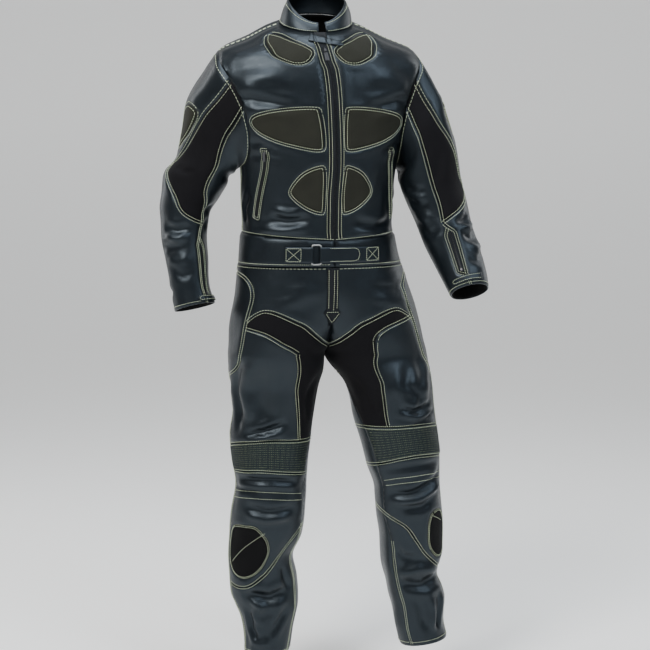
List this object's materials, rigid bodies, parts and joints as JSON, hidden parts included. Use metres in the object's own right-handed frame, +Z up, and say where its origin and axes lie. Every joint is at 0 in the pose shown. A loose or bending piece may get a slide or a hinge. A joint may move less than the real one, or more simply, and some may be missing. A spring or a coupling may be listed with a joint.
{
  "type": "motorcycle race suit",
  "caption": "Two-piece leather motorcycle race suit as worn: belted jacket with stretch and mesh panels, joined to trousers with pleated knees.",
  "frame": {"origin": "in the neck, level with the front of the collar's base, where the wearer's neck passes", "axes": "+Z up along the worn suit, front towards -Y, the suit's own left side towards +X"},
  "size_m": [0.7577, 0.2849, 1.5528],
  "materials": {
    "leather": "semi-gloss black leather",
    "stretch": "matt black stretch cloth",
    "mesh": "matt dark olive woven cloth",
    "zip": "matt black zip tape and teeth",
    "metal": "satin metal"
  },
  "bodies": {
    "suit": {"front_zip": "zip", "front_right": "leather", "back_right": "leather", "neck_crescent_right": "mesh", "chest_insert_right": "mesh", "waist_insert_right": "mesh", "pocket_zip_right": "zip", "hem_band_right": "leather", "front_left": "leather", "back_left": "leather", "neck_crescent_left": "mesh", "chest_insert_left": "mesh", "waist_insert_left": "mesh", "pocket_zip_left": "zip", "hem_band_left": "leather", "sleeve_upper_right": "leather", "arm_insert_right": "mesh", "sleeve_stretch_right": "stretch", "sleeve_forearm_right": "leather", "sleeve_inner_right": "leather", "sleeve_back_right": "leather", "sleeve_zip_right": "zip", "yoke_right": "leather", "hip_side_right": "leather", "seat_right": "leather", "thigh_stretch_right": "stretch", "thigh_right": "leather", "knee_pleats_right": "leather", "knee_right": "leather", "knee_patch_right": "leather", "shin_right": "leather", "leg_back_right": "leather", "sleeve_upper_left": "leather", "arm_insert_left": "mesh", "sleeve_stretch_left": "stretch", "sleeve_forearm_left": "leather", "sleeve_inner_left": "leather", "sleeve_back_left": "leather", "sleeve_zip_left": "zip", "yoke_left": "leather", "hip_side_left": "leather", "seat_left": "leather", "thigh_stretch_left": "stretch", "thigh_left": "leather", "knee_pleats_left": "leather", "knee_left": "leather", "knee_patch_left": "leather", "shin_left": "leather", "leg_back_left": "leather", "collar": "leather", "collar_tab": "leather", "belt_keeper": "leather", "belt_strap": "leather", "buckle": "metal", "fly": "zip", "cuff_tab_right": "leather", "cuff_tab_left": "leather"},
    "main_pull_body": {"main_pull": "metal"},
    "pocket_pull_right_body": {"pocket_pull_right": "metal"},
    "pocket_pull_left_body": {"pocket_pull_left": "metal"}
  },
  "joints": [
    {"name": "main_pull_swing", "type": "hinge", "parent": "suit", "child": "main_pull_body", "pos_m": [0.0225, -0.1114, -0.0335], "axis": [-0.9931, -0.1169, 0], "range_deg": [0, 70]},
    {"name": "pocket_pull_right_swing", "type": "hinge", "parent": "suit", "child": "pocket_pull_right_body", "pos_m": [-0.1164, -0.1256, -0.2563], "axis": [-0.9064, 0.4225, 0], "range_deg": [0, 70]},
    {"name": "pocket_pull_left_swing", "type": "hinge", "parent": "suit", "child": "pocket_pull_left_body", "pos_m": [0.1743, -0.0608, -0.2564], "axis": [-0.582, -0.8132, 0], "range_deg": [0, 70]}
  ]
}
